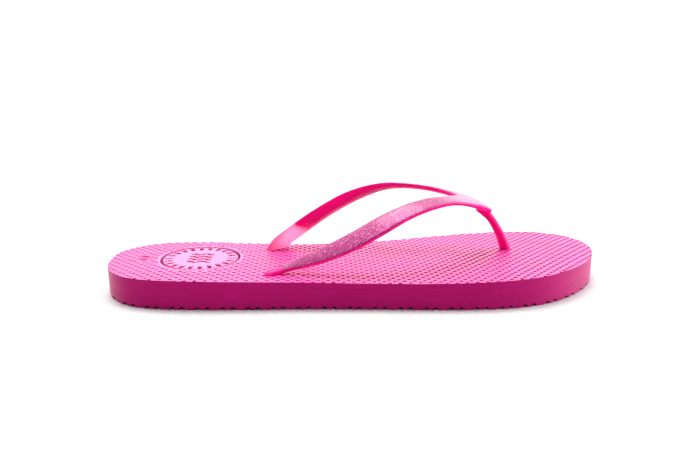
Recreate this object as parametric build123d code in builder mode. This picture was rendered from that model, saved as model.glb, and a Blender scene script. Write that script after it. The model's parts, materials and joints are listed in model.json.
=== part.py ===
"""Women's thong sandal (flip flop) for the right foot.

Frame: millimetres, +X from heel to toe, +Y to the big-toe (medial) side, +Z up.
The origin is under the middle of the sole's box, on the floor.

The sole is one board of foam rubber. It bends at the ball of the foot, so it is
made here as a rear board and a front board that meet on the line it bends about.
The strap is one moulding: two arms, a yoke where they join, a toe post, and three
stems whose heads sit in recesses under the sole. A thin glitter layer lies on the
outside of the arms and the yoke.
"""

import os

from build123d import *

# ---------------------------------------------------------------- sole, driving sizes
SOLE_LENGTH = 250.0
HEEL_THICKNESS = 13.6
ARCH_THICKNESS = 12.7
TOE_THICKNESS = 14.0

HALF = SOLE_LENGTH / 2
OUTLINE = [
    (-HALF, 2.5),
    (-116.5, 23.6),
    (-98.0, 29.8),
    (-60.0, 27.8),
    (-20.0, 26.6),
    (20.0, 33.3),
    (60.0, 41.2),
    (88.0, 42.8),
    (108.0, 39.4),
    (121.0, 29.4),
    (HALF, 18.0),
    (121.0, -3.0),
    (107.0, -22.2),
    (84.0, -37.6),
    (44.0, -42.4),
    (0.0, -39.4),
    (-50.0, -37.2),
    (-90.0, -34.8),
    (-112.0, -27.0),
    (-122.8, -12.0),
]
FOOTBED_END = HALF + 5
FOOTBED = [
    (-FOOTBED_END, HEEL_THICKNESS),
    (-60.0, HEEL_THICKNESS),
    (-20.0, ARCH_THICKNESS + 0.2),
    (30.0, ARCH_THICKNESS),
    (85.0, TOE_THICKNESS),
    (FOOTBED_END, TOE_THICKNESS),
]
CUTTER_WIDTH = 120.0  # wider than the sole

TREAD_PITCH = 11.6  # from one pair of grooves to the next
TREAD_SPACING = 4.5  # between the two grooves of a pair
TREAD_RADIUS = 1.4
TREAD_PAIRS = 21
TREAD_MIDDLE_X = -4.4  # the middle pair

FLEX_X = TREAD_MIDDLE_X + 2.5 * TREAD_PITCH  # on the land between two pairs
FLEX_GAP = 0.3

EMBLEM_CENTRE = (-81.3, 0.6)
EMBLEM_RADIUS = 19.6
EMBLEM_DEPTH = 0.5

# -------------------------------------------------------------- strap, driving sizes
LATERAL_HOLE = (-45.4, -28.0)
MEDIAL_HOLE = (-43.4, 18.0)
TOE_HOLE = (78.7, 9.0)
HOLE_RADIUS = 3.0
RECESS_RADIUS = 8.3
RECESS_DEPTH = 4.6
STEM_RADIUS = 2.9
HEAD_RADIUS = 8.0
HEAD_THICKNESS = 3.4
HEAD_CLEARANCE = 0.1
HEAD_CHAMFER = 0.6

STRAP_THICKNESS = 2.5
YOKE_X = 45.0  # the arms end here and the yoke begins
YOKE_GAP = 0.3
ARM_FOOT_Z = 13.9  # the arms stand on the footbed here
POST_FOOT_Z = 13.7
SEAM_OVERLAP = 0.3  # how far each half of the yoke reaches past the middle

# Each station of an arm: the point on its inner, upper edge and the one on its outer,
# lower edge, both on the outside face of the strap. The last stations, past YOKE_X,
# belong to the yoke, where the inner edges follow one seam.
SEAM = [(51.0, 6.3, 43.6), (60.0, 7.3, 41.0), (66.0, 8.0, 38.0), (69.5, 8.4, 35.6)]
LATERAL_ARM = [
    ((-50.5, -29.4, 10.8), (-46.8, -31.0, 9.8)),
    ((-46.0, -27.2, 14.4), (-42.8, -29.0, 13.7)),
    ((-38.0, -23.0, 17.0), (-37.0, -26.8, 14.8)),
    ((-22.0, -22.6, 24.0), (-21.5, -28.9, 19.0)),
    ((-6.0, -21.4, 31.8), (-5.0, -29.8, 25.2)),
    ((9.0, -19.0, 39.6), (9.5, -28.8, 32.8)),
    ((22.0, -15.5, 44.4), (22.5, -24.7, 39.2)),
    ((34.0, -10.2, 46.2), (35.0, -19.4, 42.8)),
    ((43.0, -3.5, 45.4), (46.0, -13.8, 43.8)),
]
LATERAL_RIM = [(55.5, -8.8, 42.0), (62.0, -3.0, 39.8), (67.0, 3.0, 37.2), (70.0, 6.2, 35.2)]
MEDIAL_ARM = [
    ((-50.0, 14.4, 10.0), (-42.5, 19.0, 8.5)),
    ((-46.0, 15.2, 17.6), (-38.6, 21.2, 13.6)),
    ((-36.0, 16.4, 25.6), (-28.0, 25.2, 20.4)),
    ((-20.0, 18.8, 36.0), (-12.0, 27.8, 30.8)),
    ((-4.0, 20.2, 44.0), (3.0, 28.8, 38.6)),
    ((13.0, 20.0, 48.0), (18.0, 28.4, 44.2)),
    ((30.0, 17.8, 47.4), (34.0, 26.4, 45.4)),
    ((44.0, 13.2, 45.4), (47.0, 22.0, 43.8)),
]
MEDIAL_RIM = [(56.0, 18.0, 42.2), (62.5, 14.6, 39.8), (67.0, 12.0, 37.4), (70.0, 10.6, 35.2)]

GLITTER_THICKNESS = 0.3
GLITTER_SHARE = 0.85  # of the strap's width
GLITTER_X = -30.0  # the layer begins here

# The toe post, from inside the yoke down to the footbed: a point and its radius.
TOE_POST = [
    ((63.0, 8.1, 36.2), 2.4),
    ((69.4, 8.5, 31.2), 2.1),
    ((73.4, 8.7, 25.4), 2.2),
    ((76.6, 8.9, 19.4), 2.5),
    ((78.7, 9.0, POST_FOOT_Z), 2.9),
]


# ------------------------------------------------------------------------- functions
def middle(station):
    """The point half way between the two edges of a station."""
    upper, lower = (Vector(*point) for point in station)
    return (upper + lower) * 0.5


def station_plane(stations, side, i):
    """The plane across a band at station i, its x along the width and its y outward."""
    upper, lower = (Vector(*point) for point in stations[i])
    across = (lower - upper).normalized() * side
    ahead = middle(stations[min(i + 1, len(stations) - 1)])
    behind = middle(stations[max(i - 1, 0)])
    along = ahead - behind
    along = along - across * along.dot(across)
    return Plane(middle(stations[i]), x_dir=across, z_dir=along)


def band(stations, side, share=1.0, lift=0.0):
    """A flat band lofted through the stations, its outside face lifted off theirs."""
    with BuildPart() as whole:
        for i, (upper, lower) in enumerate(stations):
            width = (Vector(*lower) - Vector(*upper)).length * share
            with BuildSketch(station_plane(stations, side, i)):
                with Locations((0, lift - STRAP_THICKNESS / 2)):
                    Rectangle(width, STRAP_THICKNESS)
        loft()
    return whole.part


def board(holes):
    """The whole sole with its footbed, its tread and the strap's holes."""
    with BuildPart() as whole:
        with BuildSketch():
            with BuildLine():
                Spline(*OUTLINE, periodic=True)
            make_face()
        extrude(amount=2 * HEEL_THICKNESS)
        with BuildSketch(Plane.XZ):
            with BuildLine():
                Spline(*FOOTBED)
                Polyline(FOOTBED[-1], (FOOTBED_END, 0), (-FOOTBED_END, 0), FOOTBED[0])
            make_face()
        extrude(amount=CUTTER_WIDTH / 2, both=True, mode=Mode.INTERSECT)
        with Locations((TREAD_MIDDLE_X, 0, 0)):
            with GridLocations(TREAD_PITCH, 1, TREAD_PAIRS, 1):
                with GridLocations(TREAD_SPACING, 1, 2, 1):
                    Cylinder(TREAD_RADIUS, CUTTER_WIDTH, rotation=(90, 0, 0), mode=Mode.SUBTRACT)
        for x, y in holes:
            with Locations(Location((x, y, 0), (180, 0, 0))):
                CounterBoreHole(HOLE_RADIUS, RECESS_RADIUS, RECESS_DEPTH)
    return whole.part


def plug(hole, top_z):
    """A stem that fills a strap hole, with the flat head that holds it in."""
    head_z = RECESS_DEPTH - HEAD_THICKNESS - HEAD_CLEARANCE
    with BuildPart() as whole:
        with BuildSketch(Plane.XY.offset(head_z)):
            with Locations(hole):
                Circle(HEAD_RADIUS)
        extrude(amount=HEAD_THICKNESS)
        chamfer(whole.edges().group_by(Axis.Z)[0], HEAD_CHAMFER)
        with BuildSketch(Plane.XY.offset(head_z + HEAD_THICKNESS)):
            with Locations(hole):
                Circle(STEM_RADIUS)
        extrude(amount=top_z - head_z - HEAD_THICKNESS)
    return whole.part


def with_yoke(arm, rim, side):
    """An arm's stations carried on to the tip, each a little past the seam."""
    past_seam = [(x, y - side * SEAM_OVERLAP, z) for x, y, z in SEAM]
    return arm + list(zip(past_seam, rim))


LATERAL, MEDIAL = -1, 1  # the sides of the foot, as the sign of y
LATERAL_BAND = with_yoke(LATERAL_ARM, LATERAL_RIM, LATERAL)
MEDIAL_BAND = with_yoke(MEDIAL_ARM, MEDIAL_RIM, MEDIAL)
REAR_LIMIT = Plane.YZ.offset(FLEX_X - FLEX_GAP / 2)
FRONT_LIMIT = Plane.YZ.offset(FLEX_X + FLEX_GAP / 2)
ARM_LIMIT = Plane.YZ.offset(YOKE_X - YOKE_GAP / 2)
YOKE_LIMIT = Plane.YZ.offset(YOKE_X + YOKE_GAP / 2)
GLITTER_LIMIT = Plane.YZ.offset(GLITTER_X)

# -------------------------------------------------------------------------- the sole
with BuildPart() as sole_rear:
    add(board([LATERAL_HOLE, MEDIAL_HOLE]))
    split(bisect_by=REAR_LIMIT, keep=Keep.BOTTOM)
    with BuildSketch(Plane.XY.offset(HEEL_THICKNESS)):
        with Locations(EMBLEM_CENTRE):
            Circle(EMBLEM_RADIUS)
    extrude(amount=-EMBLEM_DEPTH, mode=Mode.SUBTRACT)

with BuildPart() as sole_front:
    add(board([TOE_HOLE]))
    split(bisect_by=FRONT_LIMIT, keep=Keep.TOP)

# ------------------------------------------------------------------------- the strap
with BuildPart() as lateral_arm:
    add(band(LATERAL_BAND, LATERAL))
    split(bisect_by=ARM_LIMIT, keep=Keep.BOTTOM)
    split(bisect_by=Plane.XY.offset(ARM_FOOT_Z), keep=Keep.TOP)

with BuildPart() as medial_arm:
    add(band(MEDIAL_BAND, MEDIAL))
    split(bisect_by=ARM_LIMIT, keep=Keep.BOTTOM)
    split(bisect_by=Plane.XY.offset(ARM_FOOT_Z), keep=Keep.TOP)

with BuildPart() as post:
    for i, (point, radius) in enumerate(TOE_POST):
        ahead = TOE_POST[min(i + 1, len(TOE_POST) - 1)][0]
        behind = TOE_POST[max(i - 1, 0)][0]
        along = Vector(*ahead) - Vector(*behind)
        level = i == len(TOE_POST) - 1
        with BuildSketch(Plane(point, x_dir=(0, 1, 0), z_dir=(0, 0, -1) if level else along)):
            Circle(radius)
    loft()

with BuildPart() as toe_post:
    add(band(LATERAL_BAND, LATERAL))
    add(band(MEDIAL_BAND, MEDIAL))
    split(bisect_by=YOKE_LIMIT, keep=Keep.TOP)
    add(post.part)

with BuildPart() as lateral_plug:
    add(plug(LATERAL_HOLE, ARM_FOOT_Z))

with BuildPart() as medial_plug:
    add(plug(MEDIAL_HOLE, ARM_FOOT_Z))

with BuildPart() as toe_plug:
    add(plug(TOE_HOLE, POST_FOOT_Z))

# ----------------------------------------------------------------- the glitter layer
# Each part of the layer is a narrower band, raised a little, less the strap under it.
with BuildPart() as lateral_glitter:
    add(band(LATERAL_BAND, LATERAL, GLITTER_SHARE, GLITTER_THICKNESS))
    add(band(LATERAL_BAND, LATERAL), mode=Mode.SUBTRACT)
    split(bisect_by=ARM_LIMIT, keep=Keep.BOTTOM)
    split(bisect_by=GLITTER_LIMIT, keep=Keep.TOP)

with BuildPart() as medial_glitter:
    add(band(MEDIAL_BAND, MEDIAL, GLITTER_SHARE, GLITTER_THICKNESS))
    add(band(MEDIAL_BAND, MEDIAL), mode=Mode.SUBTRACT)
    split(bisect_by=ARM_LIMIT, keep=Keep.BOTTOM)
    split(bisect_by=GLITTER_LIMIT, keep=Keep.TOP)

with BuildPart() as yoke_glitter:
    add(band(LATERAL_BAND, LATERAL, GLITTER_SHARE, GLITTER_THICKNESS))
    add(band(MEDIAL_BAND, MEDIAL, GLITTER_SHARE, GLITTER_THICKNESS))
    add(band(LATERAL_BAND, LATERAL), mode=Mode.SUBTRACT)
    add(band(MEDIAL_BAND, MEDIAL), mode=Mode.SUBTRACT)
    split(bisect_by=YOKE_LIMIT, keep=Keep.TOP)

# ------------------------------------------------------------------------- the files
PIECES = {
    "sole_rear": sole_rear,
    "sole_front": sole_front,
    "lateral_arm": lateral_arm,
    "medial_arm": medial_arm,
    "toe_post": toe_post,
    "lateral_plug": lateral_plug,
    "medial_plug": medial_plug,
    "toe_plug": toe_plug,
    "lateral_glitter": lateral_glitter,
    "medial_glitter": medial_glitter,
    "yoke_glitter": yoke_glitter,
}
os.makedirs("parts", exist_ok=True)
for name, piece in PIECES.items():
    piece.part.label = name
    export_step(piece.part, f"parts/{name}.step")
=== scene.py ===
"""Looks of a women's thong sandal (flip flop) for the right foot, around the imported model.

The row frame: +X from heel to toe, +Y to the big-toe side, +Z up, floor at z = 0.
Sizes below are in millimetres; meshes are made in millimetres and scaled to metres.
"""

import json
import math

import bmesh
import bpy
import numpy as np
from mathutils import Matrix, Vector
from mathutils.bvhtree import BVHTree
from mathutils.kdtree import KDTree


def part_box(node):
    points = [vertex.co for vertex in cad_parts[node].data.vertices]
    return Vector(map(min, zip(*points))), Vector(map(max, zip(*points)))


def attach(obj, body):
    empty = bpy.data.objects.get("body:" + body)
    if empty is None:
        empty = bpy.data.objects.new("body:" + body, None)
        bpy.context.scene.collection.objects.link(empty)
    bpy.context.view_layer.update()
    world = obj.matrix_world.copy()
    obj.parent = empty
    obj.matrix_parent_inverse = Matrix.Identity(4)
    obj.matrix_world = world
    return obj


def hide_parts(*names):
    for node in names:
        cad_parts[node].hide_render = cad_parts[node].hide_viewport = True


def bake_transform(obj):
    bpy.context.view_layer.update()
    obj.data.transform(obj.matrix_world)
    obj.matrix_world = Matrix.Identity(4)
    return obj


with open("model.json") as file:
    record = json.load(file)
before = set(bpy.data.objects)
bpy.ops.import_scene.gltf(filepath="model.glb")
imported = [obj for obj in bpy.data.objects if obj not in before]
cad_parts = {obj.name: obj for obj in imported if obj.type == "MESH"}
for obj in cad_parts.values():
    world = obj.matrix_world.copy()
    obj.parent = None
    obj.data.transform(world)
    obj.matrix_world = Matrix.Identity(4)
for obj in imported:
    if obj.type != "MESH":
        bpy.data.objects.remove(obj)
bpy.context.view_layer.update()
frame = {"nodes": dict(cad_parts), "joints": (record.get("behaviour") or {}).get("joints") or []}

MM = 0.001

# ------------------------------------------------------------------ sizes of the sole
FLEX = frame["joints"][0]
FLEX_X = FLEX["pos_m"][0] / MM  # the line the sole bends about
BEND_LENGTH = 32.0  # how far in front of that line a bend would go on; bend() does not bend the sole

PIT_STEP = 2.33  # pits lie at every second crossing of a square lattice of this step
PIT_RADIUS = 0.98
PIT_FLOOR_RADIUS = 0.56
PIT_DEPTH = 0.95
RIM_SHARE = 0.55  # depth of the pits that the sole's edge cuts through
GRID = PIT_STEP / 4  # spacing of the footbed's mesh
END_RADIUS = 33.0  # rough radius of the heel's and the toe's ends
END_STEP = 1.2  # spacing of the mesh along the edge at these ends
UNDER_ROWS = 3.0  # spacing of the underside's mesh across the sole
RECESS_ROWS = 0.5  # and near the three recesses
WALL_ROWS = (0.1, 0.3, 0.6, 0.9)  # heights of the side wall's inner rows

TREAD_PITCH = 11.6
TREAD_SPACING = 4.5
TREAD_HALF_WIDTH = 1.4
TREAD_DEPTH = 1.4
TREAD_MIDDLE_X = -4.4

EMBLEM = (-80.3, 0.6)
EMBLEM_RADIUS = 19.6
EMBLEM_MARGIN = 1.6  # plain border outside the emblem's groove
FIELD_DEPTH = 0.15  # of the whole emblem
GROOVE_DEPTH = 1.1  # of the groove round it
GROOVE_INSET = 0.4  # from the emblem's edge to the middle of the groove
LINE_DEPTH = 0.9  # of its bars and waves
BARS = 22  # in the ring inside the groove
BAR_MIDDLE = 15.9  # radius of the middle of that ring
BAR_SIZE = (2.2, 1.7)  # length between the rounded ends, and width
WAVE_ROWS = (-6.3, -2.1, 2.1, 6.3)
WAVE_SIZE = (10.0, 1.6)
WAVE_HEIGHT = 0.8
WAVE_LENGTH = 6.5
MARK = (-108.5, 1.5)  # a small pressed mark near the heel's end
MARK_SIZE = (5.2, 10.5)  # of its plain pad
MARK_DEPTH = 0.95  # of its bars
MARK_BAR_SIZE = (2.4, 1.3)
MARK_ROWS = (-2.6, 0.0, 2.6)

PLUGS = {"lateral_plug": "rearfoot", "medial_plug": "rearfoot", "toe_plug": "forefoot"}
PLUG_RADIUS = 8.0
# The profile of a plug from the middle of its face to the top of its stem: radius, height.
PLUG_PROFILE = [
    (0.2, 0.55), (1.5, 0.55), (1.9, 0.3), (2.3, 0.0), (6.6, 0.0), (7.4, 0.12), (7.85, 0.5), (8.0, 1.1),
    (8.0, 2.6), (7.8, 3.2), (7.3, 3.4), (3.2, 3.4), (2.9, 3.8), (2.9, 9.5), (2.6, 10.2), (0.2, 10.4),
]
RECESS_RADIUS = 8.3
RECESS_DEPTH = 4.6
RECESS_EDGE = 0.2  # half the width of the slope between a recess and the underside
RECESS_REACH = 0.9  # mesh points this near to a recess's edge are moved on to it

# ----------------------------------------------------------------- sizes of the strap
# Each station: the point on the inner, upper edge and the one on the outer, lower
# edge, both on the outside face. Past the crotch the inner edges share the seam.
SEAM = [(51.0, 6.3, 43.6), (60.0, 7.3, 41.0), (66.0, 8.0, 38.0), (69.5, 8.4, 35.6)]
ARMS = {
    -1: (
        [
            ((-50.5, -29.4, 10.8), (-46.8, -31.0, 9.8)),
            ((-46.0, -27.2, 14.4), (-42.8, -29.0, 13.7)),
            ((-38.0, -23.0, 17.0), (-37.0, -26.8, 14.8)),
            ((-22.0, -22.6, 24.0), (-21.5, -28.9, 19.0)),
            ((-6.0, -21.4, 31.8), (-5.0, -29.8, 25.2)),
            ((9.0, -19.0, 39.6), (9.5, -28.8, 32.8)),
            ((22.0, -15.5, 44.4), (22.5, -24.7, 39.2)),
            ((34.0, -10.2, 46.2), (35.0, -19.4, 42.8)),
            ((43.0, -3.5, 45.4), (46.0, -13.8, 43.8)),
        ],
        [(55.5, -8.8, 42.0), (62.0, -3.0, 39.8), (67.0, 3.0, 37.2), (70.0, 6.2, 35.2)],
    ),
    1: (
        [
            ((-50.0, 14.4, 10.0), (-42.5, 19.0, 8.5)),
            ((-46.0, 15.2, 17.6), (-38.6, 21.2, 13.6)),
            ((-36.0, 16.4, 25.6), (-28.0, 25.2, 20.4)),
            ((-20.0, 18.8, 36.0), (-12.0, 27.8, 30.8)),
            ((-4.0, 20.2, 44.0), (3.0, 28.8, 38.6)),
            ((13.0, 20.0, 48.0), (18.0, 28.4, 44.2)),
            ((30.0, 17.8, 47.4), (34.0, 26.4, 45.4)),
            ((44.0, 13.2, 45.4), (47.0, 22.0, 43.8)),
        ],
        [(56.0, 18.0, 42.2), (62.5, 14.6, 39.8), (67.0, 12.0, 37.4), (70.0, 10.6, 35.2)],
    ),
}
STRAP_THICKNESS = 2.5  # at the middle of the arms, and over the whole width at their feet
STRAP_RIM_THICKNESS = 1.2  # at the edges of the arms
STRAP_EDGE_RADIUS = 0.55
STRAP_CROWN = 0.3
FOOT_STATIONS = (0.8, 2.2)  # where the edges start to thin down from the feet, and end
STRAP_VOXEL = 0.3
STRAP_KEPT = 0.4  # share of the remeshed faces that are kept
SECTIONS_PER_STATION = 14
SEAM_OVERLAP = 0.4
TOE_POST = [
    ((63.2, 8.1, 37.0), 2.6),
    ((66.0, 8.3, 34.6), 2.4),
    ((69.4, 8.5, 31.2), 2.1),
    ((73.4, 8.7, 25.4), 2.2),
    ((76.6, 8.9, 19.4), 2.5),
    ((78.7, 9.0, 13.4), 2.9),
    ((79.2, 9.0, 9.0), 2.9),
]
GLITTER_RIM = 0.75  # plain strap left beside the glitter layer
GLITTER_LIFT = 0.08
GLITTER_SINK = 0.25
GLITTER_ROWS = 12
GLITTER_FROM = {-1: 2.0, 1: 2.3}  # stations from the foot of each arm
GLITTER_TIP = 5  # sections left plain at the tip
GLITTER_WELD = 0.15  # points of the two arms' layers this near each other become one
BARE_GAP = (2.4, 3.4)  # distances from the layer where the strap starts to be bare, and is
BARE_THIN = ((-50, -38), (0.4, 1))  # places along the sole, and the light let through there
STRAP_BEND = (-20.0, 66.0)  # where the strap's bending would start and end; bend() does not bend it

# ------------------------------------------------------- sizes of the studio and camera
FLOOR_SIZE = 40.0
# Each sun: the direction it comes from, its strength, and how wide it is in degrees.
SUNS = {"soft_top": ((-0.1, 0.3, 1.0), 2.9, 30.0), "soft_side": ((1.0, 0.0, 0.45), 3.0, 50.0)}
LENS = 32.04
CAMERA_PLACE = (-0.0205, -0.3052, 0.1073)
CAMERA_TURN = (75.04, 0.0, -3.0)


# --------------------------------------------------------------------------- helpers
def make_object(name, vertices, faces):
    """A smooth-shaded mesh object from points in millimetres."""
    mesh = bpy.data.meshes.new(name)
    mesh.from_pydata((np.asarray(vertices, float) * MM).tolist(), [], faces)
    mesh.update()
    mesh.shade_smooth()
    thing = bpy.data.objects.new(name, mesh)
    bpy.context.scene.collection.objects.link(thing)
    return thing


def smoothstep(low, high, value):
    t = np.clip((value - low) / (high - low), 0, 1)
    return t * t * (3 - 2 * t)


def spline(points, at):
    """A smooth curve through the points, read at places counted in points."""
    p = np.asarray(points, float)
    gaps = np.linalg.norm(np.diff(p, axis=0), axis=1)
    slopes = np.diff(p, axis=0) / gaps[:, None]
    inner = (slopes[:-1] * gaps[1:, None] + slopes[1:] * gaps[:-1, None])
    inner /= (gaps[:-1] + gaps[1:])[:, None]
    ends = 2 * slopes[[0, -1]] - (inner[[0, -1]] if len(p) > 2 else slopes[[0, -1]])
    tangent = np.vstack([ends[:1], inner, ends[1:]])
    at = np.asarray(at, float)
    i = np.clip(at.astype(int), 0, len(p) - 2)
    t = (at - i)[:, None]
    h = gaps[i][:, None]
    return (
        p[i] * (1 + 2 * t) * (1 - t) ** 2
        + p[i + 1] * t * t * (3 - 2 * t)
        + h * tangent[i] * t * (1 - t) ** 2
        + h * tangent[i + 1] * t * t * (t - 1)
    )


# ------------------------------------------------------------------- shape of the sole
def sole_section(columns):
    """Lowest y, highest y and height of the CAD sole on each line of constant x."""
    ends = []
    for node in ("sole_rear", "sole_front"):
        mesh = frame["nodes"][node].data
        points = np.array([v.co for v in mesh.vertices]) / MM
        ends.append(points[np.array([e.vertices[:] for e in mesh.edges])])
    a, b = np.concatenate(ends).transpose(1, 0, 2)
    rows = []
    for x in columns:
        x += 0.4 if abs(x - FLEX_X) < 0.2 else 0  # the two CAD boards have a gap here
        cut = (a[:, 0] - x) * (b[:, 0] - x) < 0
        p, q = a[cut], b[cut]
        on = p + (q - p) * ((x - p[:, 0]) / (q[:, 0] - p[:, 0]))[:, None]
        rows.append((on[:, 1].min(), on[:, 1].max(), on[:, 2].max()))
    return np.array(rows).T


def sole_columns():
    """Places along the sole for the columns of its mesh, closer at both round ends."""
    low = min(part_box("sole_rear")[0].x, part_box("sole_front")[0].x) / MM
    high = max(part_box("sole_rear")[1].x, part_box("sole_front")[1].x) / MM
    end_count = int(END_RADIUS * GRID / END_STEP**2)
    reach = (END_STEP * (np.arange(end_count) + 0.4)) ** 2 / (2 * END_RADIUS)
    regular = np.arange(math.ceil(low / GRID), math.floor(high / GRID) + 1) * GRID
    regular = regular[(regular - low > reach[-1] + GRID / 2) & (high - regular > reach[-1] + GRID / 2)]
    finer = regular[np.abs(regular - EMBLEM[0]) < EMBLEM_RADIUS + EMBLEM_MARGIN] + GRID / 2
    return np.sort(np.concatenate([low + reach, regular, finer, high - reach]))


def distance(x, y, centre):
    return np.hypot(x - centre[0], y - centre[1])


def nearest_pit(x, y):
    """Offset of each point from the nearest pit of the diamond lattice."""
    u, v = (x + y) / (2 * PIT_STEP), (x - y) / (2 * PIT_STEP)
    u, v = np.round(u), np.round(v)
    return x - (u + v) * PIT_STEP, y - (u - v) * PIT_STEP


def settle_on_pits(x, y):
    """Move mesh points along their line to the nearest pit so that its wall is round."""
    dx, dy = nearest_pit(x, y)
    d = np.hypot(dx, dy) + 1e-9
    knots = np.array([0, 1.0, 1.42, 2.0, 2.24, 2.83, 4.0]) * GRID
    rings = [0, PIT_FLOOR_RADIUS, PIT_FLOOR_RADIUS + 0.1, PIT_RADIUS, PIT_RADIUS + 0.12]
    moved = np.array([*rings, 2.83 * GRID, 4.0 * GRID])
    scale = np.interp(d, knots, moved) / d
    free = 1 - plain_area(x, y)
    scale = 1 + (scale - 1) * free
    return x - dx + dx * scale, y - dy + dy * scale


def mark_distance(x, y):
    """How far a point is outside the rounded pad of the small mark."""
    half = MARK_SIZE[0] / 2
    return np.hypot(x - MARK[0], np.maximum(np.abs(y - MARK[1]) - MARK_SIZE[1] / 2 + half, 0)) - half


def plain_area(x, y):
    """1 where the footbed has no pits: the emblem and the small mark."""
    inside = distance(x, y, EMBLEM) < EMBLEM_RADIUS + EMBLEM_MARGIN
    return np.maximum(inside, mark_distance(x, y) < 0).astype(float)


def bar(x, y, length, width):
    """1 inside a rounded bar along x about the origin, falling to 0 past its edge."""
    d = np.hypot(np.maximum(np.abs(x) - length / 2, 0), y)
    return 1 - smoothstep(width / 2 - 0.15, width / 2 + 0.25, d)


def emblem_depth(x, y):
    """Depth of the pressed emblem's field, and of the groove, bars and waves in it."""
    dx, dy = x - EMBLEM[0], y - EMBLEM[1]
    r, angle = np.hypot(dx, dy), np.arctan2(dy, dx)
    field = FIELD_DEPTH * (1 - smoothstep(EMBLEM_RADIUS - 0.5, EMBLEM_RADIUS, r))
    lines = GROOVE_DEPTH * (1 - smoothstep(0.3, 0.75, np.abs(r - EMBLEM_RADIUS + GROOVE_INSET)))
    step = 2 * math.pi / BARS
    turn = (angle / step - np.round(angle / step)) * step
    lines = np.maximum(lines, LINE_DEPTH * bar(r - BAR_MIDDLE, turn * r, *BAR_SIZE))
    for row in WAVE_ROWS:
        wave = dy - row - WAVE_HEIGHT * np.sin(dx * 2 * math.pi / WAVE_LENGTH)
        lines = np.maximum(lines, LINE_DEPTH * bar(dx, wave, *WAVE_SIZE))
    return field, lines


def footbed_depth(x, y, inset):
    """How deep the footbed is pressed; inset is how far the edge of the sole is.

    The second answer leaves out the emblem's flat field, for the material, which paints shade in the
    pits, bars and waves by it.
    """
    dx, dy = nearest_pit(x, y)
    wall = smoothstep(PIT_FLOOR_RADIUS, PIT_RADIUS, np.hypot(dx, dy))
    whole = RIM_SHARE + (1 - RIM_SHARE) * smoothstep(0, 1.2, inset)
    lines = PIT_DEPTH * (1 - wall) * (1 - plain_area(x, y)) * whole
    for row in MARK_ROWS:
        lines = lines + MARK_DEPTH * bar(x - MARK[0], y - MARK[1] - row, *MARK_BAR_SIZE)
    field, emblem = emblem_depth(x, y)
    return lines + emblem + field, lines + emblem


def distance_to(points, line):
    """How far each point in the floor plane is from the nearest point of a line."""
    tree = KDTree(len(line))
    for i, (x, y) in enumerate(line):
        tree.insert((x, y, 0), i)
    tree.balance()
    return np.array([tree.find((x, y, 0))[2] for x, y in points])


def plug_centres():
    """The middle of each plug's head in the floor plane."""
    boxes = [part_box(name) for name in PLUGS]
    return [((a.x + b.x) / 2 / MM, (a.y + b.y) / 2 / MM) for a, b in boxes]


def tread_height(x, y):
    """Height of the underside: pairs of grooves across the sole, and three recesses."""
    pair = (x - TREAD_MIDDLE_X) / TREAD_PITCH
    off = np.abs(np.abs((pair - np.round(pair)) * TREAD_PITCH) - TREAD_SPACING / 2)
    height = TREAD_DEPTH * np.clip(1 - (off / TREAD_HALF_WIDTH) ** 2, 0, 1) ** 0.6
    for centre in plug_centres():
        off = distance(x, y, centre) - RECESS_RADIUS
        inside = 1 - smoothstep(-RECESS_EDGE, RECESS_EDGE, off)
        height = np.maximum(height, RECESS_DEPTH * inside)
    return height


def settle_on_recess(x, y):
    """Move underside points that are near a recess's wall on to its two edges."""
    for centre in plug_centres():
        dx, dy = x - centre[0], y - centre[1]
        r = np.hypot(dx, dy) + 1e-9
        near = np.abs(r - RECESS_RADIUS) < RECESS_REACH
        to = RECESS_RADIUS + np.where(r < RECESS_RADIUS, -RECESS_EDGE, RECESS_EDGE)
        scale = np.where(near, to / r, 1)
        x, y = centre[0] + dx * scale, centre[1] + dy * scale
    return x, y


def zip_columns(columns):
    """Triangles between neighbouring columns, each a list of (y, vertex) going up."""
    triangles = []
    for left, right in zip(columns, columns[1:]):
        i = j = 0
        while i < len(left) - 1 or j < len(right) - 1:
            go_left = j == len(right) - 1 or (
                i < len(left) - 1 and left[i + 1][0] - right[j][0] < right[j + 1][0] - left[i][0]
            )
            if go_left:
                triangles.append((left[i][1], right[j][1], left[i + 1][1]))
                i += 1
            else:
                triangles.append((left[i][1], right[j][1], right[j + 1][1]))
                j += 1
    return triangles


def footbed_rows(x, low, high):
    """Places across the sole for one column of the footbed's mesh."""
    return np.arange(math.ceil(low / GRID + 0.35), high / GRID - 0.35) * GRID


def underside_rows(x, low, high):
    """Places across the sole for one column of the underside, closer at the recesses."""
    rows = np.arange(math.ceil(low / UNDER_ROWS + 0.35), high / UNDER_ROWS - 0.35) * UNDER_ROWS
    for centre in plug_centres():
        if abs(x - centre[0]) < RECESS_RADIUS + 1:
            rows = rows[np.abs(rows - centre[1]) > RECESS_RADIUS + 1.5]
            count = round((RECESS_RADIUS + 1) / RECESS_ROWS)
            rows = np.append(rows, centre[1] + np.arange(-count, count + 1) * RECESS_ROWS)
    return np.sort(rows)


def sheet_columns(xs, low, high, rows_at, first):
    """Points of one face of the sole in columns: its rim and the rows between."""
    points, columns = [], []
    for i, (x, a, b) in enumerate(zip(xs, low, high)):
        rows = [] if i in (0, len(xs) - 1) else rows_at(x, a, b)
        ys = [a, *rows, b]
        columns.append([(y, first + len(points) + k) for k, y in enumerate(ys)])
        points += [(x, y) for y in ys]
    return np.array(points), columns


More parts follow.
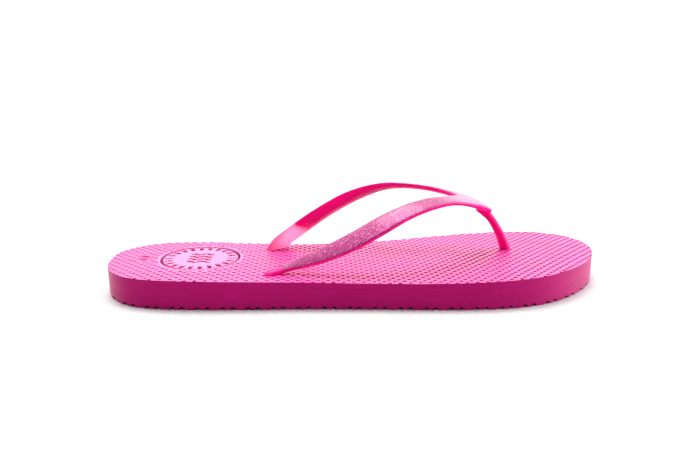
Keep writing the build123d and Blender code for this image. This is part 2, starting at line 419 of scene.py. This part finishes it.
def settle_on_grooves(xs):
    """Move the column nearest to each edge of a groove on to it, so that edges are crisp."""
    xs = xs.copy()
    first, last = math.ceil(xs[0] / TREAD_PITCH), math.floor(xs[-1] / TREAD_PITCH)
    for pair in range(first - 1, last + 2):
        middle = TREAD_MIDDLE_X + pair * TREAD_PITCH
        for off in (-TREAD_SPACING / 2, TREAD_SPACING / 2):
            for edge in (-TREAD_HALF_WIDTH, TREAD_HALF_WIDTH):
                place = middle + off + edge
                i = np.argmin(np.abs(xs - place))
                if abs(xs[i] - place) < GRID / 2 and 0 < i < len(xs) - 1:
                    xs[i] = place
    return xs


def make_sole():
    """The whole sole as one mesh: footbed, side wall and grooved underside."""
    xs = sole_columns()
    low, high, top = sole_section(xs)
    flat, columns = sheet_columns(xs, low, high, footbed_rows, 0)
    edge = np.column_stack([np.append(xs, xs[::-1]), np.append(low, high[::-1])])
    inset = distance_to(flat, edge)
    x, y = settle_on_pits(flat[:, 0], flat[:, 1])
    x, y = (np.where(inset < GRID / 4, old, new) for old, new in zip(flat.T, (x, y)))
    depth, lines = footbed_depth(x, y, inset)
    footbed = np.column_stack([x, y, np.interp(x, xs, top) - depth])
    under_xs = settle_on_grooves(xs)
    under_low, under_high, _ = sole_section(under_xs)
    flat, under = sheet_columns(under_xs, under_low, under_high, underside_rows, len(footbed))
    x, y = settle_on_recess(flat[:, 0], flat[:, 1])
    outsole = np.column_stack([x, y, tread_height(x, y)])
    faces = zip_columns(columns)
    top_count = len(faces)
    upper = [c[0][1] for c in columns] + [c[-1][1] for c in columns[::-1]]
    lower = [c[0][1] for c in under] + [c[-1][1] for c in under[::-1]]
    vertices = np.concatenate([footbed, outsole])
    rings = [lower]
    for share in WALL_ROWS:
        rings.append([len(vertices) + k for k in range(len(lower))])
        row = vertices[lower] * (1 - share) + vertices[upper] * share
        vertices = np.concatenate([vertices, row])
    rings.append(upper)
    for ring, above in zip(rings, rings[1:]):
        faces += zip(ring, ring[1:] + ring[:1], above[1:] + above[:1], above)
    wall_count = len(faces) - top_count
    faces += [face[::-1] for face in zip_columns(under)]
    sole = make_object("sole", vertices, faces)
    kinds = np.zeros(len(faces), np.int32)
    kinds[top_count:top_count + wall_count] = 1
    sole.data.polygons.foreach_set("material_index", kinds)
    mark_sharp(sole.data, [upper, lower])
    # pressed: how deep the pits, bars and waves go; the footbed material paints shade by it
    pressed = np.zeros(len(vertices))
    pressed[:len(lines)] = lines / PIT_DEPTH
    # plain: the emblem's smooth field, which the material makes smoother and paler, the paler tint
    # being painted sheen
    plain = np.zeros(len(vertices))
    reach = distance(footbed[:, 0], footbed[:, 1], EMBLEM)
    plain[:len(lines)] = reach < EMBLEM_RADIUS + EMBLEM_MARGIN
    for name, values in (("pressed", pressed), ("plain", plain)):
        sole.data.attributes.new(name, "FLOAT", "POINT").data.foreach_set("value", values)
    return sole


def mark_sharp(mesh, rings):
    """Mark the closed rings of edges sharp, so that the shading breaks there."""
    wanted = {frozenset(pair) for ring in rings for pair in zip(ring, ring[1:] + ring[:1])}
    sharp = [frozenset(edge.vertices) in wanted for edge in mesh.edges]
    mesh.attributes.new("sharp_edge", "BOOLEAN", "EDGE").data.foreach_set("value", sharp)


# ------------------------------------------------------------------ shape of the strap
def arm_edges(side, at):
    """Points on the inner and outer edges of an arm and of its half of the yoke."""
    arm, rim = ARMS[side]
    crotch = len(arm)
    inner_arm = spline([upper for upper, _ in arm] + SEAM[:1], np.minimum(at, crotch))
    inner_seam = spline(SEAM, np.maximum(at - crotch, 0))
    inner = np.where((at <= crotch)[:, None], inner_arm, inner_seam)
    outer = spline([lower for _, lower in arm] + rim, at)
    return inner, outer


def arm_frames(side, at):
    """For sections across an arm: inner edge, width, and the across and out axes."""
    inner, outer = arm_edges(side, at)
    width = np.linalg.norm(outer - inner, axis=1)
    across = (outer - inner) / width[:, None]
    along = np.gradient((inner + outer) / 2, axis=0)
    out = np.cross(along, across) * side
    out /= np.linalg.norm(out, axis=1)[:, None]
    return inner, width, across, out


def tube(sections):
    """Points and faces of a closed tube through rings that have the same count."""
    sections = np.asarray(sections)
    rings, count = sections.shape[:2]
    faces = []
    for i in range(rings - 1):
        for k in range(count):
            a, b = i * count + k, i * count + (k + 1) % count
            faces.append((a, b, b + count, a + count))
    faces.append(tuple(range(count))[::-1])
    faces.append(tuple(range((rings - 1) * count, rings * count)))
    return sections.reshape(-1, 3), faces


def arm_places(side):
    """Places along an arm, counted in stations, from its foot to the strap's tip."""
    last = sum(len(points) for points in ARMS[side]) - 1
    return np.linspace(0, last, last * SECTIONS_PER_STATION + 1)


def face_height(share):
    """How far the strap's outside face crowns at a share of its width."""
    return STRAP_CROWN * (1 - (2 * share - 1) ** 2)


def section(low, high, rim):
    """Outline of the strap's section: places across it, and heights out of its face."""
    r = min(STRAP_EDGE_RADIUS, (high - low) * 0.45)
    top, bottom = -r, r - rim
    corners = [(high - r, top), (low + r, top), (low + r, bottom), (high - r, bottom)]
    points = []
    for quarter, (a, b) in enumerate(corners):
        for turn in np.radians([0, 22.5, 45, 67.5, 90]) + quarter * math.pi / 2:
            points.append((a + r * math.cos(turn), b + r * math.sin(turn)))
        if quarter in (0, 2):  # go on across the outside face, then the inside face
            across = corners[quarter + 1][0] - a
            level = b + (r if quarter == 0 else -r)
            points += [(a + share * across, level) for share in np.linspace(0, 1, 9)[1:-1]]
    points = np.array(points)
    share = np.clip((points[:, 0] - low) / (high - low), 0, 1)
    inward = -points[:, 1] / rim
    belly = (STRAP_THICKNESS - rim) * (1 - np.abs(2 * share - 1) ** 2.5)
    points[:, 1] += face_height(share) * (1 - inward) - belly * inward
    return points


def arm_tube(side):
    """One arm with its half of the yoke, as a closed tube of rounded sections."""
    at = arm_places(side)
    inner, width, across, out = arm_frames(side, at)
    crotch = len(ARMS[side][0])
    sections = []
    for i, place in enumerate(at):
        low = -SEAM_OVERLAP * smoothstep(crotch - 1.2, crotch - 0.4, place)
        thinned = smoothstep(*FOOT_STATIONS, place) * (1 - smoothstep(crotch - 0.5, crotch + 1, place))
        rim = STRAP_THICKNESS + (STRAP_RIM_THICKNESS - STRAP_THICKNESS) * thinned
        points = section(low, width[i], rim)
        sections.append([inner[i] + across[i] * a + out[i] * b for a, b in points])
    return tube(sections)


def round_tube(line):
    """A closed round tube along a smooth line of points, each with its radius."""
    at = np.linspace(0, len(line) - 1, (len(line) - 1) * SECTIONS_PER_STATION + 1)
    smooth = spline([(*point, radius) for point, radius in line], at)
    middle, radius = smooth[:, :3], smooth[:, 3]
    along = np.gradient(middle, axis=0)
    side = np.array([0.0, 1.0, 0.0])
    turns = np.linspace(0, 2 * math.pi, 32, endpoint=False)
    sections = []
    for i in range(len(at)):
        up = np.cross(side, along[i])
        up /= np.linalg.norm(up)
        ring = [side * math.cos(t) + up * math.sin(t) for t in turns]
        sections.append([middle[i] + radius[i] * step for step in ring])
    return tube(sections)


def joined(name, shapes):
    """One mesh object from several closed shapes, all facing outward."""
    vertices, faces, count = [], [], 0
    for points, polygons in shapes:
        vertices.append(points)
        faces += [tuple(i + count for i in polygon) for polygon in polygons]
        count += len(points)
    thing = make_object(name, np.concatenate(vertices), faces)
    mesh = bmesh.new()
    mesh.from_mesh(thing.data)
    bmesh.ops.recalc_face_normals(mesh, faces=mesh.faces)
    mesh.to_mesh(thing.data)
    mesh.free()
    return thing


def finish_modifiers(thing):
    """Replace an object's mesh with what its modifiers make of it."""
    bpy.context.view_layer.update()
    made = thing.evaluated_get(bpy.context.evaluated_depsgraph_get())
    mesh = bpy.data.meshes.new_from_object(made)
    thing.modifiers.clear()
    thing.data = mesh
    mesh.name = thing.name
    mesh.shade_smooth()


def make_strap():
    """The strap as one smooth moulding: two arms, the yoke and the toe post."""
    strap = joined("strap", [arm_tube(-1), arm_tube(1), round_tube(TOE_POST)])
    remesh = strap.modifiers.new("remesh", "REMESH")
    remesh.mode = "VOXEL"
    remesh.voxel_size = STRAP_VOXEL * MM
    smooth = strap.modifiers.new("smooth", "SMOOTH")
    smooth.factor = 0.5
    smooth.iterations = 6
    fewer = strap.modifiers.new("fewer", "DECIMATE")
    fewer.ratio = STRAP_KEPT
    finish_modifiers(strap)
    return strap


def glitter_sheet(side):
    """Points and faces of the glitter layer on one arm, before it is laid on the strap."""
    at = arm_places(side)
    crotch = len(ARMS[side][0])
    start, end = GLITTER_FROM[side] * SECTIONS_PER_STATION, len(at) - GLITTER_TIP
    inner, width, across, out = arm_frames(side, at)
    points, outward = [], []
    rows = range(int(start), int(end) + 1)
    for i in rows:
        rim = GLITTER_RIM * min(1.0, width[i] / 8)
        inner_rim = rim * (1 - smoothstep(crotch - 0.4, crotch, at[i]))
        for share in np.linspace(0, 1, GLITTER_ROWS + 1):
            a = inner_rim + share * (width[i] - rim - inner_rim)
            points.append(inner[i] + across[i] * a + out[i] * face_height(a / width[i]))
            outward.append(out[i])
    faces, span = [], GLITTER_ROWS + 1
    for i in range(len(rows) - 1):
        for j in range(GLITTER_ROWS):
            k = i * span + j
            face = (k, k + 1, k + span + 1, k + span)
            faces.append(face if side < 0 else face[::-1])
    return np.array(points), np.array(outward), faces


def make_glitter(strap):
    """The glitter layer on the outside of the arms and the yoke, laid on the strap."""
    surface = BVHTree.FromPolygons(
        [v.co for v in strap.data.vertices], [p.vertices[:] for p in strap.data.polygons]
    )
    vertices, faces = [], []
    for side in ARMS:
        points, outward, polygons = glitter_sheet(side)
        faces += [tuple(i + len(vertices) for i in polygon) for polygon in polygons]
        for point, out in zip(points, outward):
            start = Vector((point + out * 1.5) * MM)
            hit = surface.ray_cast(start, -Vector(out), 4 * MM)[0]
            if hit is None:
                hit = surface.find_nearest(Vector(point * MM))[0]
            vertices.append(np.array(hit) / MM + out * GLITTER_LIFT)
    glitter = make_object("glitter_layer", vertices, faces)
    mesh = bmesh.new()
    mesh.from_mesh(glitter.data)
    bmesh.ops.remove_doubles(mesh, verts=mesh.verts, dist=GLITTER_WELD * MM)
    for _ in range(2):
        inner = [v for v in mesh.verts if not v.is_boundary]
        bmesh.ops.smooth_vert(
            mesh, verts=inner, factor=0.5, use_axis_x=True, use_axis_y=True, use_axis_z=True
        )
    mesh.normal_update()
    rim = [edge for edge in mesh.edges if edge.is_boundary]
    normals = {tuple(v.co): v.normal.copy() for edge in rim for v in edge.verts}
    skirt = bmesh.ops.extrude_edge_only(mesh, edges=rim)["geom"]
    for v in skirt:
        if isinstance(v, bmesh.types.BMVert):
            v.co -= normals[tuple(v.co)] * GLITTER_SINK * MM
    mesh.to_mesh(glitter.data)
    mesh.free()
    glitter.data.shade_smooth()
    return glitter


def mark_bare(strap, glitter):
    """Note where the glitter layer leaves the medial arm bare, so that light gets through."""
    layer = BVHTree.FromPolygons(
        [v.co for v in glitter.data.vertices], [p.vertices[:] for p in glitter.data.polygons]
    )
    gaps = np.array([layer.find_nearest(v.co)[3] / MM for v in strap.data.vertices])
    x, y, _ = np.array([v.co for v in strap.data.vertices]).T / MM
    thin = np.interp(x, *BARE_THIN) * (x < FLEX_X) * (y > 0)
    bare = smoothstep(*BARE_GAP, gaps) * thin
    strap.data.attributes.new("bare", "FLOAT", "POINT").data.foreach_set("value", bare)


def make_plug(node):
    """The head of a stem under the sole: a flat disc with a soft rim and a raised boss."""
    low, high = (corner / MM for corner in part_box(node))
    middle, radius = (low + high) / 2, (high.x - low.x) / 2
    profile = []
    for r, z in PLUG_PROFILE:
        profile.append((r if r < RECESS_RADIUS / 2 else radius - PLUG_RADIUS + r, low.z + z))
    turns = np.linspace(0, 2 * math.pi, 64, endpoint=False)
    rings = [
        [(middle.x + r * math.cos(t), middle.y + r * math.sin(t), z) for t in turns] for r, z in profile
    ]
    points, faces = tube(rings)
    return joined(node.replace("plug", "stem_head"), [(points, faces)])


# --------------------------------------------------------------------------- materials
class Nodes:
    """A short way to make a node tree: each call adds a node and links its inputs."""

    def __init__(self, tree):
        self.tree = tree
        tree.nodes.clear()

    def add(self, kind, inputs=None, **settings):
        node = self.tree.nodes.new(kind)
        for name, value in settings.items():
            setattr(node, name, value)
        for key, value in (inputs or {}).items():
            socket = node.inputs[key]
            if isinstance(value, bpy.types.NodeSocket):
                self.tree.links.new(value, socket)
            else:
                socket.default_value = value
        return node

    def maths(self, operation, *values):
        return self.add("ShaderNodeMath", dict(enumerate(values)), operation=operation).outputs[0]

    def vector(self, operation, *values):
        return self.add("ShaderNodeVectorMath", dict(enumerate(values)), operation=operation).outputs[0]

    def noise(self, where, scale, detail=2.0, roughness=0.5):
        inputs = {"Vector": where, "Scale": scale, "Detail": detail, "Roughness": roughness}
        return self.add("ShaderNodeTexNoise", inputs)

    def ramp(self, factor, stops, interpolation="LINEAR"):
        node = self.add("ShaderNodeValToRGB", {"Fac": factor})
        ramp = node.color_ramp
        ramp.interpolation = interpolation
        while len(ramp.elements) < len(stops):
            ramp.elements.new(0.5)
        for element, (place, colour) in zip(ramp.elements, stops):
            element.position = place
            element.color = (*colour, 1) if len(colour) == 3 else colour
        return node.outputs["Color"]

    def blend(self, share, first, second):
        """The first colour where the share is 0, the second where it is 1."""
        node = self.add("ShaderNodeMixRGB", {"Fac": share, "Color1": first, "Color2": second})
        return node.outputs["Color"]

    def bump(self, height, distance, strength):
        inputs = {"Height": height, "Distance": distance, "Strength": strength}
        return self.add("ShaderNodeBump", inputs).outputs["Normal"]


def material(name):
    """A new material and the builder of its nodes."""
    made = bpy.data.materials.new(name)
    made.use_nodes = True
    return made, Nodes(made.node_tree)


def finish_material(nodes, shader):
    nodes.add("ShaderNodeOutputMaterial", {"Surface": shader.outputs["BSDF"]})


FOAM = (0.66, 0.010, 0.25)
FOAM_DARK = (0.60, 0.007, 0.21)
FOAM_LIGHT = (0.72, 0.016, 0.29)
PLAIN_SKIN_SHEEN = (0.74, 0.045, 0.29)  # the emblem's smooth skin; its paler tint is painted sheen
# the cut side's foam: slightly darker as a raw cut, and darker still as painted shade on the side wall;
# the spread among the tints is its faint level lines
CUT_TINTS_SHADED = [(0.38, 0.001, 0.115), (0.42, 0.001, 0.13), (0.47, 0.003, 0.15)]
PVC = (0.84, 0.005, 0.23)
PVC_CLEAR = (1.0, 0.6, 0.8)  # light that comes through it
CLEAR_SHARE = 0.7  # how much of the bare strap's look that light is


def footbed_material():
    """Moulded skin of the foam: softly shiny, with fine pores, painted shade in its pits and pressed
    lines, and painted sheen on the emblem.
    """
    made, n = material("foam_footbed")
    where = n.add("ShaderNodeTexCoord").outputs["Object"]
    mottle = n.noise(where, 90.0, 3.0, 0.6).outputs["Fac"]
    colour = n.ramp(mottle, [(0.3, FOAM_DARK), (0.5, FOAM), (0.75, FOAM_LIGHT)])
    pressed = n.add("ShaderNodeAttribute", attribute_name="pressed").outputs["Fac"]
    plain = n.add("ShaderNodeAttribute", attribute_name="plain").outputs["Fac"]
    # painted sheen: the emblem's field takes a paler tint
    colour = n.blend(plain, colour, (*PLAIN_SKIN_SHEEN, 1))
    # painted shade: the colour darkens with the depth of the pits, bars and waves, where shade falls
    shade = n.ramp(pressed, [(0.05, (1.0,) * 3), (0.45, (0.28,) * 3)])
    colour = n.vector("MULTIPLY", colour, shade)
    pores = n.noise(where, 3200.0, 3.0, 0.65).outputs["Fac"]
    rough = n.ramp(pressed, [(0.1, (0.40,) * 3), (0.6, (0.65,) * 3)])
    rough = n.maths("MULTIPLY_ADD", plain, -0.14, rough)
    shine = n.ramp(pressed, [(0.03, (0.85,) * 3), (0.2, (0.1,) * 3)])
    normal = n.bump(pores, 0.00005, 0.4)
    shader = n.add("ShaderNodeBsdfPrincipled", {
        "Base Color": colour, "Roughness": rough, "Normal": normal, "Specular IOR Level": shine,
    })
    finish_material(n, shader)
    return made


def wall_material():
    """Cut side of the foam: matt, with faint level lines and open cells, its colour darkened with
    painted shade.
    """
    made, n = material("foam_cut_side")
    where = n.add("ShaderNodeTexCoord").outputs["Object"]
    stretched = n.add("ShaderNodeMapping", {"Vector": where, "Scale": (60.0, 60.0, 1400.0)}).outputs[0]
    lines = n.noise(stretched, 1.0, 3.0, 0.6).outputs["Fac"]
    cells = n.noise(where, 2400.0, 2.0, 0.6).outputs["Fac"]
    # painted shade: the wall's tints are darker than the footbed's foam
    colour = n.ramp(lines, list(zip((0.25, 0.5, 0.8), CUT_TINTS_SHADED)))
    height = n.maths("MULTIPLY_ADD", lines, 0.6, cells)
    normal = n.bump(height, 0.00010, 0.6)
    shader = n.add("ShaderNodeBsdfPrincipled", {
        "Base Color": colour, "Roughness": 0.6, "Normal": normal, "Specular IOR Level": 0.06,
        "Sheen Weight": 0.35, "Sheen Roughness": 0.4,
    })
    finish_material(n, shader)
    return made


def pvc_material():
    """Glossy, slightly clear plastic of the strap, which lets light through where it is bare."""
    made, n = material("soft_pvc")
    where = n.add("ShaderNodeTexCoord").outputs["Object"]
    cloud = n.noise(where, 60.0, 2.0, 0.5).outputs["Fac"]
    light = tuple(part * 1.08 for part in PVC)
    dark = tuple(part * 0.88 for part in PVC)
    tint = n.ramp(cloud, [(0.3, dark), (0.7, light)])
    scuff = n.noise(where, 500.0, 4.0, 0.6).outputs["Fac"]
    rough = n.ramp(scuff, [(0.35, (0.23,) * 3), (0.7, (0.29,) * 3)])
    wave = n.noise(where, 220.0, 2.0, 0.5).outputs["Fac"]
    normal = n.bump(wave, 0.00012, 0.1)
    shader = n.add("ShaderNodeBsdfPrincipled", {
        "Base Color": tint, "Roughness": rough, "Normal": normal, "Specular IOR Level": 0.12,
        "Subsurface Weight": 0.4, "Subsurface Radius": (1.0, 0.2, 0.8), "Subsurface Scale": 0.003,
    })
    bare = n.add("ShaderNodeAttribute", attribute_name="bare").outputs["Fac"]
    through = n.add("ShaderNodeBsdfTranslucent", {"Color": (*PVC_CLEAR, 1)})
    share = n.maths("MULTIPLY", bare, CLEAR_SHARE)
    mixed = n.add("ShaderNodeMixShader", {0: share, 1: shader.outputs["BSDF"], 2: through.outputs[0]})
    n.add("ShaderNodeOutputMaterial", {"Surface": mixed.outputs[0]})
    return made


def glitter_material():
    """Clear pink film full of small flakes, each with its own tint and slant."""
    made, n = material("pink_glitter")
    where = n.add("ShaderNodeTexCoord").outputs["Object"]
    cells = n.add("ShaderNodeTexVoronoi", {"Vector": where, "Scale": 4200.0, "Randomness": 1.0})
    random = n.add("ShaderNodeSeparateColor", {"Color": cells.outputs["Color"]})
    tint = n.ramp(random.outputs[0], [
        (0.0, (0.40, 0.004, 0.13)), (0.38, (0.44, 0.015, 0.21)), (0.60, (0.22, 0.010, 0.09)),
        (0.76, (0.34, 0.05, 0.18)), (0.87, (0.62, 0.24, 0.44)), (0.94, (0.12, 0.005, 0.05)),
    ], "CONSTANT")
    shares = [(0.0, (0.0,) * 3), (0.5, (0.3,) * 3), (0.8, (0.6,) * 3)]
    metal = n.ramp(random.outputs[1], shares, "CONSTANT")
    slant = n.vector("SUBTRACT", cells.outputs["Color"], (0.5, 0.5, 0.5))
    slant = n.vector("MULTIPLY", slant, (0.4, 0.4, 0.4))
    facing = n.add("ShaderNodeNewGeometry").outputs["Normal"]
    normal = n.vector("NORMALIZE", n.vector("ADD", facing, slant))
    shader = n.add("ShaderNodeBsdfPrincipled", {
        "Base Color": tint, "Metallic": metal, "Roughness": 0.38, "Normal": normal,
        "Coat Weight": 0.2, "Coat Roughness": 0.16,
    })
    finish_material(n, shader)
    return made


# -------------------------------------------------------------------- studio and camera
def make_floor():
    """A wide pale floor, finished with a faint grain."""
    mesh = bpy.data.meshes.new("floor")
    grid = bmesh.new()
    bmesh.ops.create_grid(grid, x_segments=8, y_segments=8, size=FLOOR_SIZE / 2)
    grid.to_mesh(mesh)
    grid.free()
    floor = bpy.data.objects.new("floor", mesh)
    bpy.context.scene.collection.objects.link(floor)
    made, n = material("pale_floor")
    where = n.add("ShaderNodeTexCoord").outputs["Object"]
    grain = n.noise(where, 40.0).outputs["Fac"]
    colour = n.ramp(grain, [(0.3, (0.62,) * 3), (0.7, (0.64,) * 3)])
    shader = n.add("ShaderNodeBsdfPrincipled", {
        "Base Color": colour, "Roughness": 0.6, "Specular IOR Level": 0.2,
    })
    finish_material(n, shader)
    mesh.materials.append(made)


def make_world():
    """A bright room behind, above and beside the object, dim in front; white to look at."""
    world = bpy.data.worlds.new("studio")
    bpy.context.scene.world = world
    world.use_nodes = True
    n = Nodes(world.node_tree)
    way = n.add("ShaderNodeTexCoord").outputs["Generated"]
    parts = n.add("ShaderNodeSeparateXYZ", {"Vector": way})
    toward_back = n.maths("MULTIPLY_ADD", parts.outputs["Y"], 0.5, 0.5)
    beside = n.maths("ABSOLUTE", parts.outputs["X"])
    above = n.maths("MAXIMUM", n.maths("SUBTRACT", parts.outputs["Z"], 0.3), 0.0)
    bright = n.maths("MULTIPLY_ADD", beside, 0.6, toward_back)
    bright = n.maths("MULTIPLY_ADD", above, -0.4, bright)
    stops = ((0.0, 0.03), (0.22, 0.05), (0.4, 0.25), (0.55, 0.5), (0.75, 1.4), (1.0, 2.3))
    glow = n.ramp(bright, [(place, (level,) * 3) for place, level in stops])
    seen = n.add("ShaderNodeLightPath").outputs["Is Camera Ray"]
    room = n.add("ShaderNodeBackground", {"Color": glow}).outputs[0]
    white = n.add("ShaderNodeBackground", {"Color": (1, 1, 1, 1), "Strength": 1.05}).outputs[0]
    mixed = n.add("ShaderNodeMixShader", {0: seen, 1: room, 2: white}).outputs[0]
    n.add("ShaderNodeOutputWorld", {"Surface": mixed})


def make_sun(name, toward, strength, width):
    """A distant soft light from a direction, as wide as an angle in degrees."""
    lamp = bpy.data.lights.new(name, "SUN")
    lamp.energy, lamp.angle = strength, math.radians(width)
    light = bpy.data.objects.new(name, lamp)
    light.rotation_euler = Vector(toward).to_track_quat("Z", "Y").to_euler()
    bpy.context.scene.collection.objects.link(light)


def make_camera():
    lens = bpy.data.cameras.new("camera")
    lens.sensor_width = 36.0
    lens.lens = LENS
    lens.clip_start = 0.01
    camera = bpy.data.objects.new("camera", lens)
    camera.location = CAMERA_PLACE
    camera.rotation_euler = [math.radians(angle) for angle in CAMERA_TURN]
    bpy.context.scene.collection.objects.link(camera)
    bpy.context.scene.camera = camera


# ------------------------------------------------------------------------ put together
def bend(piece, start_x, end_x):
    """Bake the piece's placing into its mesh; the piece is not bent."""
    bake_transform(piece)


soft_pvc = pvc_material()

sole = make_sole()
sole.data.materials.append(footbed_material())
sole.data.materials.append(wall_material())
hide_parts("sole_rear", "sole_front")
bend(sole, FLEX_X, FLEX_X + BEND_LENGTH)

strap = make_strap()
strap.data.materials.append(soft_pvc)
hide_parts("lateral_arm", "medial_arm", "toe_post")

glitter = make_glitter(strap)
glitter.data.materials.append(glitter_material())
mark_bare(strap, glitter)
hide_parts("lateral_glitter", "medial_glitter", "yoke_glitter")
for piece in (strap, glitter):
    bend(piece, *STRAP_BEND)

for node, body in PLUGS.items():
    head = make_plug(node)
    head.data.materials.append(soft_pvc)
    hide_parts(node)
    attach(head, body)

make_floor()
make_world()
for name, light in SUNS.items():
    make_sun(name, *light)
make_camera()
bpy.context.scene.view_settings.view_transform = "Standard"
